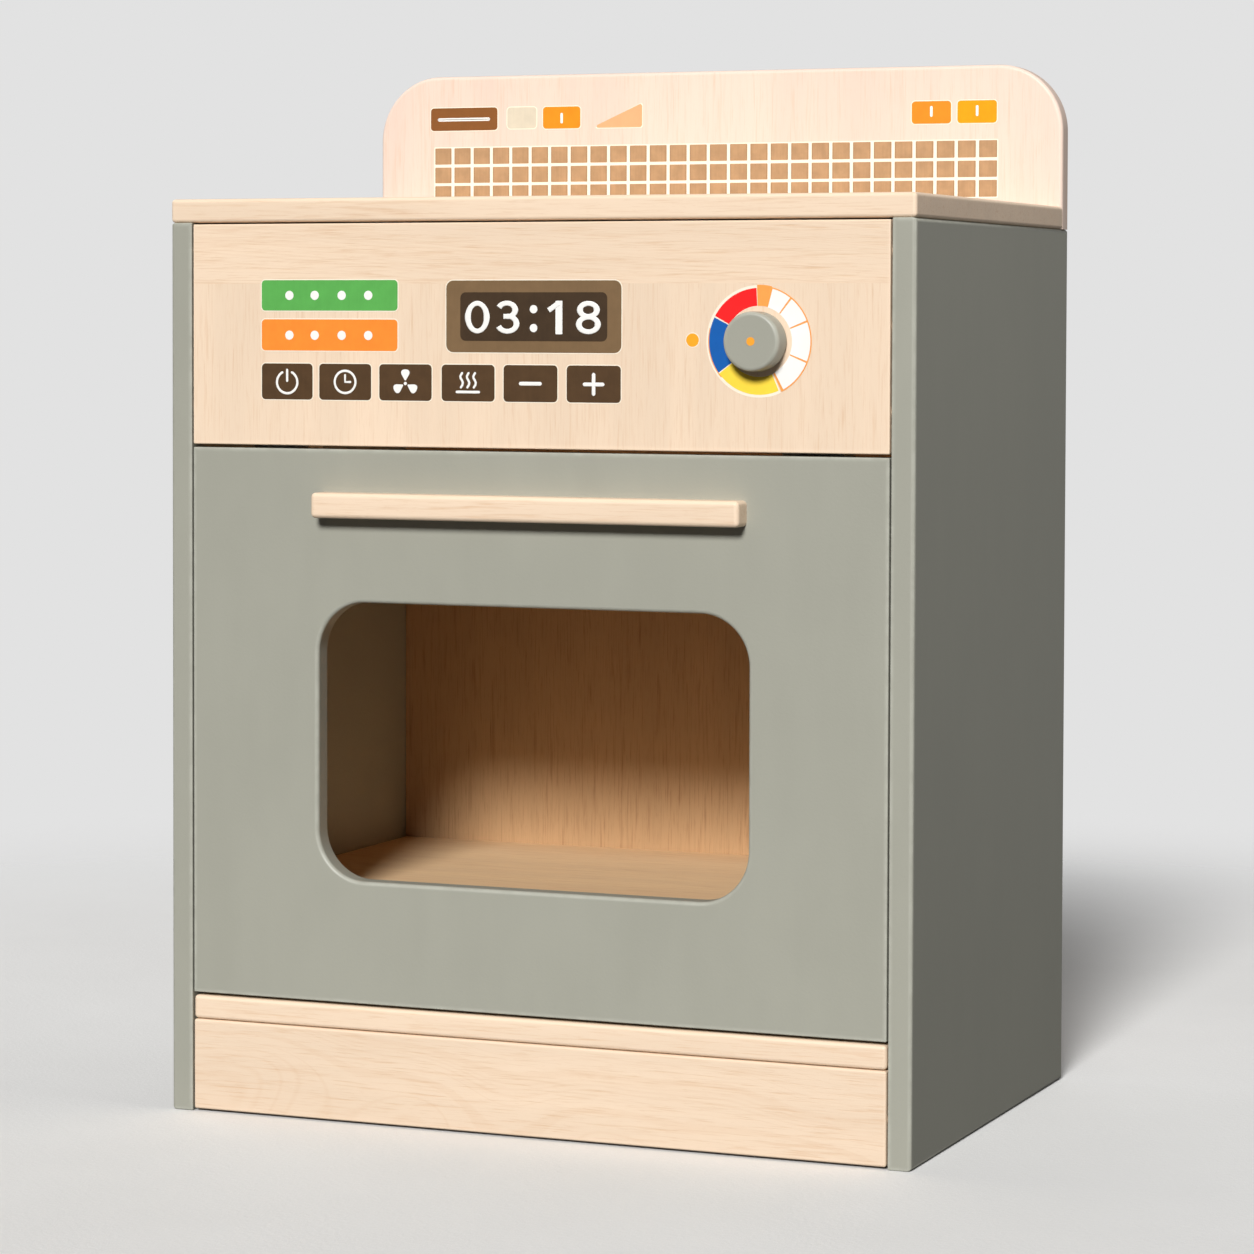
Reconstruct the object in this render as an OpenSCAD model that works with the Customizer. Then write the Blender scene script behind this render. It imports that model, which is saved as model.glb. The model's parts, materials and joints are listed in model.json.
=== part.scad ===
// Wooden play kitchen: an oven cabinet with a drop-down door, a turning knob and a splashback.
// The origin is on the floor, at the centre of the overall box. +X is the right side seen from
// the front, +Y is the back and +Z is up.

/* [Cabinet] */
// Width over the two side panels
cabinet_w = 500; // [400:1:620]
// Depth of the side panels, front to back
cabinet_d = 325; // [260:1:400]
// Height of the side panels, floor to underside of the worktop
cabinet_h = 570; // [520:1:700]
// Thickness of every solid board
board_t = 15; // [14:0.5:20]
// Thickness of the back panel
back_t = 6; // [5:0.5:9]
// Height of the bottom board's underside above the floor
plinth_h = 60; // [45:1:80]
// Gap between the floor and the plinth
floor_gap = 1.5; // [0.5:0.5:5]
// Height of the oven floor above the bottom board
shelf_rise = 65; // [60:1:100]

/* [Splashback] */
// Height of the splashback above the side panels
splash_h = 110; // [80:1:160]
// Radius of its two upper corners
splash_r = 45; // [20:1:60]

/* [Control panel] */
// Height of the printed control panel
control_h = 102; // [90:1:130]
// Height of the rail above it
rail_h = 39; // [32:1:55]

/* [Door] */
// Gap between the door's ends and the side panels
door_side_gap = 1; // [0.5:0.25:3]
// Gap above the door, and behind it to the catches and the oven shelf
door_gap = 2; // [1.5:0.25:4]
// Height of the pivot axis above the door's lower edge
pivot_up = 22; // [18:1:26]
// Width of door left on each side of the window
window_side = 89; // [70:1:120]
// Height of door left below the window
window_sill = 77.5; // [70:1:100]
// Height of door left above the window
window_head = 96.5; // [80:1:130]
// Radius of the window's corners
window_r = 32; // [10:1:45]

/* [Handle] */
// Length of the handle
handle_w = 287; // [180:1:320]
// Height of the handle
handle_h = 16; // [12:1:24]
// Depth of the handle in front of the door
handle_d = 15; // [12:0.5:24]
// Radius of the handle's corners, seen from the front
handle_r = 3; // [1:0.5:5]
// Distance from the door's upper edge to the handle
handle_drop = 27; // [15:0.5:50]

/* [Knob] */
// Diameter of the knob
knob_d = 36; // [28:1:44]
// Height of the knob's face in front of the panel
knob_proud = 15; // [12:0.5:20]
// Radius of the knob's front rim
knob_rim = 2.5; // [0.5:0.5:5]
// Distance from the right side panel to the knob's centre
knob_inset = 84; // [50:1:120]
// Height of the knob's centre above the panel's lower edge
knob_up = 67; // [40:1:75]
// Diameter of the spindle
spindle_d = 8; // [6:0.5:10]

/* [Fittings] */
// Diameter of the dowels
dowel_d = 8; // [6:0.5:8]
// Length of the dowels
dowel_l = 30; // [26:1:40]
// Diameter of the cam locks
cam_d = 15; // [12:0.5:16]
// Distance from a board's end to the centre of its cam
cam_reach = 24; // [20:1:34]
// Diameter of the cam bolts' shafts
bolt_d = 6; // [5:0.5:7]
// Diameter of the door's pivot pins
pin_d = 5; // [4:0.5:6]
// Outer diameter of the pivot bushes
bush_d = 9; // [8:0.5:11]
// Length of the pivot bushes
bush_l = 10; // [8:0.5:11]
// Width of the angle brackets
bracket_w = 20; // [15:1:30]
// Length of each bracket leg
bracket_leg = 25; // [20:1:30]
// Thickness of the bracket steel
bracket_t = 2; // [1.5:0.25:3]

/* [Hidden] */
$fn = 48;

// Clearances
running_fit = 0.05; // all round a pin or spindle that turns
wood_fit = 0.1;     // all round a dowel, screw or fitting that is driven or glued in
end_gap = 1;        // left past the end of a dowel or bolt in its hole
touch_gap = 0.5;    // between the door's plates and stops and what they rest against
swing_gap = 0.75;   // under the door's lower corner as it swings past the bottom board
skin = 4;           // wood left past the end of a screw that stops inside a board
thin_skin = 3;      // the same where the screw is short
cam_skin = 3.5;     // wood left above a cam lock
cut = 1;            // how far a cutter runs past a face

// Driving lines of the cabinet
front_y = -(cabinet_d - max(handle_d, knob_proud)) / 2;
back_y = front_y + cabinet_d;
panel_y = back_y - back_t;
inner_x = cabinet_w / 2 - board_t;
inner_w = 2 * inner_x;
mid_t = board_t / 2;

// Heights of the boards' undersides
floor_z = plinth_h + board_t;
shelf_z = floor_z + shelf_rise - board_t;
rail_z = cabinet_h - rail_h;
control_z = rail_z - control_h;
worktop_d = cabinet_d - board_t;

// Door
door_w = inner_w - 2 * door_side_gap;
swing_r = sqrt(pow(mid_t, 2) + pow(pivot_up, 2));
door_z = floor_z + swing_r - pivot_up + swing_gap;
door_h = control_z - door_gap - door_z;
pivot_y = front_y + mid_t;
pivot_z = door_z + pivot_up;
window_w = door_w - 2 * window_side;
window_h = door_h - window_sill - window_head;
window_z = door_z + window_sill;
handle_z = door_z + door_h - handle_drop - handle_h;
pin_in = 20;
bush_bore = pin_d / 2 + running_fit;
pin_end = bush_l - end_gap;
behind_door = front_y + board_t + door_gap;

// Stop batten: it meets the door's back face when the door lies level
batten_z = pivot_z + mid_t + touch_gap;
batten_d = 18;
batten_screw_l = shelf_z - batten_z + board_t - skin;

// Catches and strike plates
catch_inset = 54;
catch_x = door_w / 2 - catch_inset;
catch_w = 40;
catch_h = 14;
catch_d = 20;
magnet_w = 22;
magnet_h = 8;
magnet_d = 8;
plate_t = door_gap - touch_gap;
plate_w = 36;
plate_h = 12;
plate_drop = 1;
plate_z = door_z + door_h - plate_h - plate_drop;

// Knob
knob_x = inner_x - knob_inset;
knob_z = control_z + knob_up;
knob_gap = 0.8;
spindle_in = 9;
washer_d = 20;
washer_t = 2;
washer_gap = 1;
spindle_end = front_y + board_t + washer_gap;
knob_screw_l = 16;

// Screws: shank diameter, head diameter and head height
thin_screw = [3, 6, 1.5];
thick_screw = [4, 8, 2];

// Places of the fittings
dowel_short = 10;
dowel_long = dowel_l - dowel_short;
half_dowel = dowel_l / 2;
dowel_edge = 7;
cam_rows = [front_y + 55, panel_y - 45];
cam_boards = [plinth_h, shelf_z, control_z];
side_dowels = [
    [(front_y + panel_y) / 2, plinth_h + mid_t],
    [(front_y + panel_y) / 2, shelf_z + mid_t],
    [(front_y + panel_y) / 2, control_z + mid_t],
    [front_y + mid_t, plinth_h / 2],
    [front_y + mid_t, control_z + control_h / 4],
    [front_y + mid_t, control_z + control_h * 3 / 4],
    [front_y + mid_t, rail_z + rail_h / 2],
    [panel_y - mid_t, rail_z + dowel_edge + dowel_d / 2]
];
// Standing dowels: x, y and the height of the joint that they cross
plinth_dowels = [for (side = [-1, 1]) [side * inner_w / 4, front_y + mid_t, plinth_h]];
rail_dowels = [for (side = [-1, 1]) [side * inner_w / 4, front_y + mid_t, rail_z]];
top_dowels = [
    for (side = [-1, 1], row = cam_rows)
        [side * (cabinet_w / 2 - mid_t), row, cabinet_h]
];
splash_dowels = [for (side = [-1, 1]) [side * (cabinet_w / 2 - mid_t), back_y - mid_t, cabinet_h]];

// Shares of a width at which the brackets and screws stand, to either side of the middle
bracket_share = 0.21;
panel_share = 0.4;
splash_near = 0.12;
splash_far = 0.36;
handle_share = 0.38;
batten_share = 0.36;

// How far screws run into the second piece of their joint
panel_bite = 12;
splash_bite = 20;
fitting_bite = 9;

bracket_x = inner_w * bracket_share;
bracket_mid = bracket_leg * 0.6; // from the corner to each leg's screw
bracket_screw_l = board_t - thin_skin;
panel_screw_x = [-inner_w * panel_share, 0, inner_w * panel_share];
panel_screw_z = [plinth_h + mid_t, shelf_z + mid_t, control_z + mid_t, rail_z + rail_h / 2];
panel_screw_l = back_t + panel_bite;
splash_screw_x = [for (share = [-splash_far, -splash_near, splash_near, splash_far])
    cabinet_w * share];
splash_screw_l = board_t + splash_bite;
handle_screw_x = handle_w * handle_share;
handle_screw_l = board_t + handle_d - skin;
batten_screw_x = [-inner_w * batten_share, 0, inner_w * batten_share];
strike_screw_x = 12;
strike_screw_l = plate_t + fitting_bite;
catch_screw_x = 15;
catch_screw_l = catch_h + fitting_bite;
cam_h = board_t - cam_skin;
bolt_in = 10;
bolt_neck = 3;
bolt_head = 2;
neck_share = 0.6; // the neck's diameter over the shaft's
head_share = 0.9; // the head's diameter over the shaft's

// Corner blocks behind the plinth: their width and depth, and their height above its lower edge
block_w = 20;
block_lift = 4;

// A board given by its lowest corner and its size
module board(corner, size) {
    translate(corner) cube(size);
}

// An upright outline, centred on X and standing on Z = 0, with four round corners
module round_outline(w, h, r) {
    translate([-w / 2, r]) square([w, h - 2 * r]);
    translate([r - w / 2, 0]) square([w - 2 * r, h]);
    for (x = [r - w / 2, w / 2 - r], y = [r, h - r]) translate([x, y]) circle(r = r, $fn = 96);
}

// A rod along X, Y or Z that starts at a point and runs for a length
module rod_x(point, d, l) {
    translate(point) rotate([0, 90, 0]) cylinder(d = d, h = l);
}

module rod_y(point, d, l) {
    translate(point) rotate([-90, 0, 0]) cylinder(d = d, h = l);
}

module rod_z(point, d, l) {
    translate(point) cylinder(d = d, h = l);
}

// A countersunk screw with its head's face at the origin, pointing along +Z.
// grow makes the same shape fatter and longer, as the hole that the screw sits in.
module screw(kind, l, grow = 0) {
    shank = kind[0] / 2 + grow;
    head = kind[1] / 2 + grow;
    rim = 0.3;
    point = 1;
    start = grow > 0 ? -cut : 0;
    end = grow > 0 ? l + end_gap : l;
    rotate_extrude() polygon([
        [0, start], [head, start], [head, rim], [shank, rim + kind[2]],
        [shank, end - point], [shank / 2, end], [0, end]
    ]);
}

// A screw or its hole, turned to point forwards, up or down from a face
module screw_forward(point, kind, l, grow = 0) {
    translate(point) rotate([90, 0, 0]) screw(kind, l, grow);
}

module screw_up(point, kind, l, grow = 0) {
    translate(point) screw(kind, l, grow);
}

module screw_down(point, kind, l, grow = 0) {
    translate(point) rotate([180, 0, 0]) screw(kind, l, grow);
}

// How much deeper a hole is than the fitting in it, at each end
function past(grow) = grow > 0 ? end_gap : 0;

// Level dowels between a side panel and the boards, for one side
module side_dowel_set(side, grow = 0) {
    for (place = side_dowels) {
        translate([side * (inner_x + dowel_short + past(grow)), place[0], place[1]])
            rotate([0, -90 * side, 0])
                cylinder(d = dowel_d + 2 * grow, h = dowel_l + 2 * past(grow));
    }
}

// Standing dowels that cross a joint: below it and above it by the lengths given
module standing_dowel_set(places, below, above, grow = 0) {
    for (place = places) {
        rod_z([place[0], place[1], place[2] - below - past(grow)],
              dowel_d + 2 * grow, below + above + 2 * past(grow));
    }
}

// Cam bolts of one side: a shaft from the side panel, a thin neck, and a head that the cam grips.
// The holes are for the shaft only, because the rest lies in the cam's own hole.
module cam_bolt_set(side, grow = 0) {
    shaft_l = bolt_in + cam_reach - bolt_neck - bolt_head;
    for (z = cam_boards, row = cam_rows) {
        translate([side * (inner_x + bolt_in), row, z + mid_t]) rotate([0, -90 * side, 0]) {
            translate([0, 0, -past(grow)]) cylinder(d = bolt_d + 2 * grow, h = shaft_l + past(grow));
            if (grow == 0) {
                translate([0, 0, shaft_l]) cylinder(d = bolt_d * neck_share, h = bolt_neck);
                translate([0, 0, shaft_l + bolt_neck]) cylinder(d = bolt_d * head_share, h = bolt_head);
            }
        }
    }
}

// Cam locks of one side, let into the boards' undersides
module cam_lock_set(side, grow = 0) {
    sunk = grow > 0 ? cut : 0;
    for (z = cam_boards, row = cam_rows) {
        rod_z([side * (inner_x - cam_reach), row, z - sunk],
              cam_d + 2 * grow, cam_h + sunk + 2 * grow);
    }
}

// Everything that is bored into the end grain and underside of a board by its side fittings
module side_fitting_holes() {
    for (side = [-1, 1]) {
        side_dowel_set(side, wood_fit);
        cam_bolt_set(side, wood_fit);
        cam_lock_set(side, wood_fit);
    }
}

// Screws of the back panel, pointing forwards
module back_panel_screw_set(grow = 0) {
    for (x = panel_screw_x, z = panel_screw_z) {
        screw_forward([x, back_y, z], thin_screw, panel_screw_l, grow);
    }
}

// Screws of the splashback, into the worktop's rear edge
module splashback_screw_set(grow = 0) {
    for (x = splash_screw_x) {
        screw_forward([x, back_y, cabinet_h + mid_t], thick_screw, splash_screw_l, grow);
    }
}

// Screws of the stop batten, up into the shelf
module batten_screw_set(grow = 0) {
    for (x = batten_screw_x) {
        screw_up([x, behind_door + batten_d / 2, batten_z], thick_screw, batten_screw_l, grow);
    }
}

// An angle bracket in the corner between a lying face below it and an upright face at -Y
module bracket() {
    difference() {
        translate([-bracket_w / 2, 0, 0]) union() {
            cube([bracket_w, bracket_leg, bracket_t]);
            cube([bracket_w, bracket_t, bracket_leg]);
        }
        bracket_screw_pair(wood_fit);
    }
}

// Both screws of one bracket
module bracket_screw_pair(grow = 0) {
    screw_down([0, bracket_mid, bracket_t], thin_screw, bracket_screw_l, grow);
    screw_forward([0, bracket_t, bracket_mid], thin_screw, bracket_screw_l, grow);
}

// The six brackets' places: on the oven ceiling, and under the worktop at the front and the rear
module each_bracket() {
    for (x = [-bracket_x, bracket_x]) {
        translate([x, front_y + board_t, control_z + board_t]) children();
        translate([x, front_y + board_t, cabinet_h]) mirror([0, 0, 1]) children();
        translate([x, panel_y - board_t, cabinet_h]) mirror([0, 0, 1]) mirror([0, 1, 0]) children();
    }
}

// Left or right side panel
module side_panel(side) {
    color([0.62, 0.62, 0.56]) difference() {
        board([side > 0 ? inner_x : -inner_x - board_t, front_y, 0],
              [board_t, cabinet_d, cabinet_h]);
        side_dowel_set(side, wood_fit);
        cam_bolt_set(side, wood_fit);
        standing_dowel_set(top_dowels, dowel_long, dowel_short, wood_fit);
        standing_dowel_set(splash_dowels, half_dowel, half_dowel, wood_fit);
        rod_x([side > 0 ? inner_x - cut : -inner_x - bush_l - end_gap, pivot_y, pivot_z],
              bush_d + 2 * wood_fit, bush_l + end_gap + cut);
    }
}

module left_side_panel() {
    side_panel(-1);
}

module right_side_panel() {
    side_panel(1);
}

module worktop() {
    color([0.95, 0.84, 0.7]) difference() {
        board([-cabinet_w / 2, front_y, cabinet_h], [cabinet_w, worktop_d, board_t]);
        standing_dowel_set(top_dowels, dowel_long, dowel_short, wood_fit);
        splashback_screw_set(wood_fit);
        each_bracket() bracket_screw_pair(wood_fit);
    }
}

module splashback() {
    color([0.97, 0.88, 0.76]) difference() {
        translate([0, back_y, cabinet_h]) rotate([90, 0, 0]) linear_extrude(board_t) union() {
            translate([-cabinet_w / 2, 0]) square([cabinet_w, splash_h - splash_r]);
            translate([-cabinet_w / 2 + splash_r, 0]) square([cabinet_w - 2 * splash_r, splash_h]);
            for (side = [-1, 1]) {
                translate([side * (cabinet_w / 2 - splash_r), splash_h - splash_r])
                    circle(r = splash_r, $fn = 96);
            }
        }
        standing_dowel_set(splash_dowels, half_dowel, half_dowel, wood_fit);
        splashback_screw_set(wood_fit);
    }
}

module top_rail() {
    color([0.97, 0.87, 0.74]) difference() {
        board([-inner_x, front_y, rail_z], [inner_w, board_t, rail_h]);
        side_fitting_holes();
        standing_dowel_set(rail_dowels, half_dowel, half_dowel, wood_fit);
        each_bracket() bracket_screw_pair(wood_fit);
    }
}

module control_panel() {
    color([0.96, 0.86, 0.73]) difference() {
        board([-inner_x, front_y, control_z], [inner_w, board_t, control_h]);
        side_fitting_holes();
        standing_dowel_set(rail_dowels, half_dowel, half_dowel, wood_fit);
        each_bracket() bracket_screw_pair(wood_fit);
        rod_y([knob_x, front_y - cut, knob_z], spindle_d + 2 * running_fit, board_t + 2 * cut);
    }
}

module bottom_board() {
    color([0.96, 0.86, 0.73]) difference() {
        board([-inner_x, front_y, plinth_h], [inner_w, panel_y - front_y, board_t]);
        side_fitting_holes();
        standing_dowel_set(plinth_dowels, dowel_long, dowel_short, wood_fit);
        back_panel_screw_set(wood_fit);
    }
}

module plinth() {
    color([0.95, 0.85, 0.71]) difference() {
        board([-inner_x, front_y, floor_gap], [inner_w, board_t, plinth_h - floor_gap]);
        side_fitting_holes();
        standing_dowel_set(plinth_dowels, dowel_long, dowel_short, wood_fit);
    }
}

module oven_shelf() {
    color([0.85, 0.68, 0.48]) difference() {
        board([-inner_x, behind_door, shelf_z], [inner_w, panel_y - behind_door, board_t]);
        side_fitting_holes();
        back_panel_screw_set(wood_fit);
        batten_screw_set(wood_fit);
    }
}

module oven_ceiling() {
    color([0.85, 0.68, 0.48]) difference() {
        board([-inner_x, front_y + board_t, control_z], [inner_w, panel_y - front_y - board_t, board_t]);
        side_fitting_holes();
        back_panel_screw_set(wood_fit);
        catch_screw_set(wood_fit);
        each_bracket() bracket_screw_pair(wood_fit);
    }
}

module rear_rail() {
    color([0.85, 0.68, 0.48]) difference() {
        board([-inner_x, panel_y - board_t, rail_z], [inner_w, board_t, rail_h]);
        side_fitting_holes();
        back_panel_screw_set(wood_fit);
        each_bracket() bracket_screw_pair(wood_fit);
    }
}

module back_panel() {
    color([0.85, 0.68, 0.48]) difference() {
        board([-inner_x, panel_y, plinth_h], [inner_w, back_t, cabinet_h - plinth_h]);
        back_panel_screw_set(wood_fit);
    }
}

module stop_batten() {
    color([0.85, 0.68, 0.48]) difference() {
        board([-inner_x, behind_door, batten_z], [inner_w, batten_d, shelf_z - batten_z]);
        batten_screw_set(wood_fit);
    }
}

// Corner block between the plinth, a side panel and the bottom board
module plinth_block(side) {
    color([0.9, 0.78, 0.6])
        board([side > 0 ? inner_x - block_w : -inner_x, front_y + board_t, floor_gap + block_lift],
              [block_w, block_w, plinth_h - floor_gap - block_lift]);
}

module left_plinth_block() {
    plinth_block(-1);
}

module right_plinth_block() {
    plinth_block(1);
}

module dowels() {
    color([0.88, 0.74, 0.55]) {
        for (side = [-1, 1]) side_dowel_set(side);
        standing_dowel_set(plinth_dowels, dowel_long, dowel_short);
        standing_dowel_set(rail_dowels, half_dowel, half_dowel);
        standing_dowel_set(top_dowels, dowel_long, dowel_short);
        standing_dowel_set(splash_dowels, half_dowel, half_dowel);
    }
}

module cam_bolts() {
    color([0.72, 0.72, 0.74]) for (side = [-1, 1]) cam_bolt_set(side);
}

// Each cam has a slot that the bolt's head and neck enter
module cam_locks() {
    slot = bolt_d + 1;
    slot_back = bolt_head + end_gap;
    slot_l = slot_back + cam_d / 2;
    color([0.6, 0.6, 0.62]) for (side = [-1, 1]) difference() {
        cam_lock_set(side);
        for (z = cam_boards, row = cam_rows) {
            translate([side * (inner_x - cam_reach - slot_back + slot_l / 2), row, z + mid_t])
                cube([slot_l, slot, slot], center = true);
        }
    }
}

module angle_brackets() {
    color([0.78, 0.78, 0.8]) each_bracket() bracket();
}

module bracket_screws() {
    color([0.75, 0.75, 0.77]) each_bracket() bracket_screw_pair();
}

module splashback_screws() {
    color([0.75, 0.75, 0.77]) splashback_screw_set();
}

module back_panel_screws() {
    color([0.75, 0.75, 0.77]) back_panel_screw_set();
}

module batten_screws() {
    color([0.75, 0.75, 0.77]) batten_screw_set();
}

// Screws of both catches, up into the oven ceiling
module catch_screw_set(grow = 0) {
    for (side = [-1, 1], end = [-1, 1]) {
        screw_up([side * catch_x + end * catch_screw_x, behind_door + catch_d / 2, control_z - catch_h],
                 thin_screw, catch_screw_l, grow);
    }
}

// The magnet's pocket in a catch, open at the front
module magnet_block(side, grow = 0) {
    translate([side * catch_x - magnet_w / 2 - grow,
               behind_door + (grow > 0 ? -cut : 0),
               control_z - (catch_h + magnet_h) / 2 - grow])
        cube([magnet_w + 2 * grow, magnet_d + (grow > 0 ? cut + grow : 0), magnet_h + 2 * grow]);
}

module catch_housing(side) {
    color([0.92, 0.9, 0.86]) difference() {
        board([side * catch_x - catch_w / 2, behind_door, control_z - catch_h],
              [catch_w, catch_d, catch_h]);
        magnet_block(side, wood_fit);
        catch_screw_set(wood_fit);
    }
}

module left_catch() {
    catch_housing(-1);
}

module right_catch() {
    catch_housing(1);
}

module catch_magnets() {
    color([0.3, 0.3, 0.32]) for (side = [-1, 1]) magnet_block(side);
}

module catch_screws() {
    color([0.75, 0.75, 0.77]) catch_screw_set();
}

// Nylon bush in a side panel, flush with its inner face
module pivot_bush(side) {
    color([0.93, 0.92, 0.88]) translate([side * inner_x, pivot_y, pivot_z]) rotate([0, 90 * side, 0])
        difference() {
            cylinder(d = bush_d, h = bush_l);
            translate([0, 0, -cut]) cylinder(r = bush_bore, h = bush_l + 2 * cut);
        }
}

module left_pivot_bush() {
    pivot_bush(-1);
}

module right_pivot_bush() {
    pivot_bush(1);
}

// Steel pin that is driven into the door's edge and turns in the bush
module pivot_pin(side, grow = 0) {
    translate([side * (inner_x + pin_end), pivot_y, pivot_z]) rotate([0, -90 * side, 0])
        cylinder(d = pin_d + 2 * grow, h = pin_end + door_side_gap + pin_in + past(grow));
}

module left_pivot_pin() {
    color([0.75, 0.75, 0.77]) pivot_pin(-1);
}

module right_pivot_pin() {
    color([0.75, 0.75, 0.77]) pivot_pin(1);
}

module handle_screw_set(grow = 0) {
    for (side = [-1, 1]) {
        screw_forward([side * handle_screw_x, front_y + board_t, handle_z + handle_h / 2],
                      thick_screw, handle_screw_l, grow);
    }
}

module strike_screw_set(grow = 0) {
    for (side = [-1, 1], end = [-1, 1]) {
        screw_forward([side * catch_x + end * strike_screw_x,
                       front_y + board_t + plate_t, plate_z + plate_h / 2],
                      thin_screw, strike_screw_l, grow);
    }
}

module oven_door() {
    color([0.64, 0.64, 0.58]) difference() {
        board([-door_w / 2, front_y, door_z], [door_w, board_t, door_h]);
        translate([0, front_y + board_t + cut, window_z]) rotate([90, 0, 0])
            linear_extrude(board_t + 2 * cut) round_outline(window_w, window_h, window_r);
        for (side = [-1, 1]) pivot_pin(side, wood_fit);
        handle_screw_set(wood_fit);
        strike_screw_set(wood_fit);
    }
}

module door_handle() {
    color([0.97, 0.86, 0.74]) difference() {
        translate([0, front_y, handle_z]) rotate([90, 0, 0])
            linear_extrude(handle_d) round_outline(handle_w, handle_h, handle_r);
        handle_screw_set(wood_fit);
    }
}

module handle_screws() {
    color([0.75, 0.75, 0.77]) handle_screw_set();
}

module strike_plate(side) {
    color([0.78, 0.78, 0.8]) difference() {
        board([side * catch_x - plate_w / 2, front_y + board_t, plate_z], [plate_w, plate_t, plate_h]);
        strike_screw_set(wood_fit);
    }
}

module left_strike_plate() {
    strike_plate(-1);
}

module right_strike_plate() {
    strike_plate(1);
}

module strike_screws() {
    color([0.75, 0.75, 0.77]) strike_screw_set();
}

module knob() {
    knob_t = knob_proud - knob_gap;
    color([0.64, 0.64, 0.58]) difference() {
        translate([knob_x, front_y - knob_gap, knob_z]) rotate([90, 0, 0]) rotate_extrude($fn = 96) {
            square([knob_d / 2 - knob_rim, knob_t]);
            square([knob_d / 2, knob_t - knob_rim]);
            translate([knob_d / 2 - knob_rim, knob_t - knob_rim]) circle(r = knob_rim);
        }
        rod_y([knob_x, front_y - knob_gap - spindle_in - end_gap, knob_z],
              spindle_d + 2 * wood_fit, spindle_in + end_gap + cut);
    }
}

module knob_spindle() {
    color([0.88, 0.74, 0.55]) difference() {
        rod_y([knob_x, front_y - knob_gap - spindle_in, knob_z],
              spindle_d, spindle_end - front_y + knob_gap + spindle_in);
        knob_screw_shape(wood_fit);
    }
}

// Washer that holds the spindle behind the panel
module knob_washer() {
    color([0.9, 0.78, 0.6]) difference() {
        rod_y([knob_x, spindle_end, knob_z], washer_d, washer_t);
        knob_screw_shape(wood_fit);
    }
}

module knob_screw_shape(grow = 0) {
    screw_forward([knob_x, spindle_end + washer_t, knob_z], thin_screw, knob_screw_l, grow);
}

module knob_screw() {
    color([0.75, 0.75, 0.77]) knob_screw_shape();
}

left_side_panel();
right_side_panel();
worktop();
splashback();
top_rail();
control_panel();
bottom_board();
plinth();
oven_shelf();
oven_ceiling();
rear_rail();
back_panel();
stop_batten();
left_plinth_block();
right_plinth_block();
dowels();
cam_bolts();
cam_locks();
angle_brackets();
bracket_screws();
splashback_screws();
back_panel_screws();
batten_screws();
left_catch();
right_catch();
catch_magnets();
catch_screws();
left_pivot_bush();
right_pivot_bush();
oven_door();
door_handle();
handle_screws();
left_pivot_pin();
right_pivot_pin();
left_strike_plate();
right_strike_plate();
strike_screws();
knob();
knob_spindle();
knob_washer();
knob_screw();
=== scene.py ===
import json
import math

import bmesh
import bpy
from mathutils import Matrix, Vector


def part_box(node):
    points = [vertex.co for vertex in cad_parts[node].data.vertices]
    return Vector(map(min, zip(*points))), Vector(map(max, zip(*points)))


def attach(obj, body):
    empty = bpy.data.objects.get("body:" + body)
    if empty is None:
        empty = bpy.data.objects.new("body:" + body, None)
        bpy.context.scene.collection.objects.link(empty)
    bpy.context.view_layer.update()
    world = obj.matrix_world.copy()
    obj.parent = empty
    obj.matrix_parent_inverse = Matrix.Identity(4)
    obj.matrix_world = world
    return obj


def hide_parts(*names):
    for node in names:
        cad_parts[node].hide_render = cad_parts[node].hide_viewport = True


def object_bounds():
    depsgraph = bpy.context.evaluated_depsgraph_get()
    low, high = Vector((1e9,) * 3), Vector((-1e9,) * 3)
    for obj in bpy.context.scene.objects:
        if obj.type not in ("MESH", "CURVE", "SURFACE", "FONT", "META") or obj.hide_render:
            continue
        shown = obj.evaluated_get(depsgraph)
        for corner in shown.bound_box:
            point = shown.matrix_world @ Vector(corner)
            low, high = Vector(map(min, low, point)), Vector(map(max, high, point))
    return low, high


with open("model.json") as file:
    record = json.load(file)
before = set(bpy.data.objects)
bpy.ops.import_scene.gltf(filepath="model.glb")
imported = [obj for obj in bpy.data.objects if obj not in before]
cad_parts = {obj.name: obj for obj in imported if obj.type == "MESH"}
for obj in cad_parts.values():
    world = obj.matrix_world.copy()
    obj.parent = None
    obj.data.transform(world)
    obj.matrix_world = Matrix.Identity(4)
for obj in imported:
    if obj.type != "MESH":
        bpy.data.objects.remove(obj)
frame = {"nodes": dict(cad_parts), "record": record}
cad_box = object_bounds()
nodes = frame["nodes"]


# ----------------------------------------------------------
# Side panels. The two uprights of the cabinet: square-cut MDF boards with every edge run round
# by a router, then sprayed all over with a satin sage-green lacquer that thins on the edges;
# their paler edges are partly that thinner coat and partly a painted highlight.
# Dowels and cam bolts hold the boards between them.
# ----------------------------------------------------------

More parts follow.
